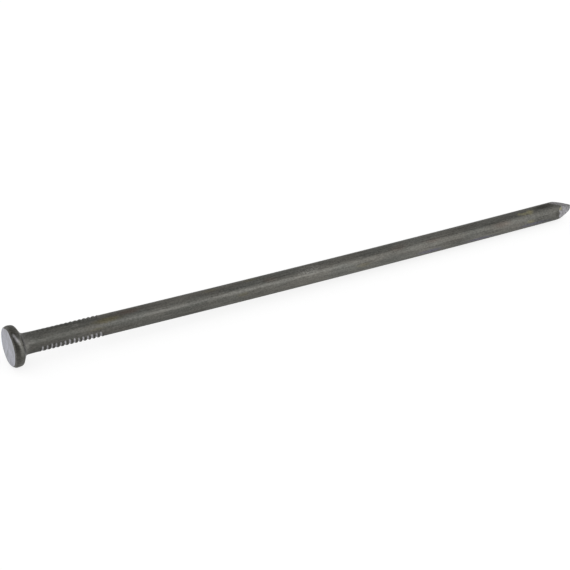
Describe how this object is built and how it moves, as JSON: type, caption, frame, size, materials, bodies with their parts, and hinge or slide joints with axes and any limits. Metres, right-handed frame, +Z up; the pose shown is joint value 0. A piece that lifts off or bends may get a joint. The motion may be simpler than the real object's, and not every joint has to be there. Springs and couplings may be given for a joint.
{
  "type": "nail",
  "caption": "Heavy round-shank steel nail with a flat round head, ribbed gripper marks below the head and a four-sided diamond point.",
  "frame": {"origin": "middle of the head's flat striking face", "axes": "+X along the shank from the head to the point, +Z up with the nail lying on its side"},
  "size_m": [0.3048, 0.0192, 0.0192],
  "materials": {
    "bright_steel": "uncoated drawn wire, oily dark grey with faint lengthwise draw lines, paler on the struck face and the pinched point"
  },
  "bodies": {
    "root": {"nail": "bright_steel"}
  },
  "joints": []
}
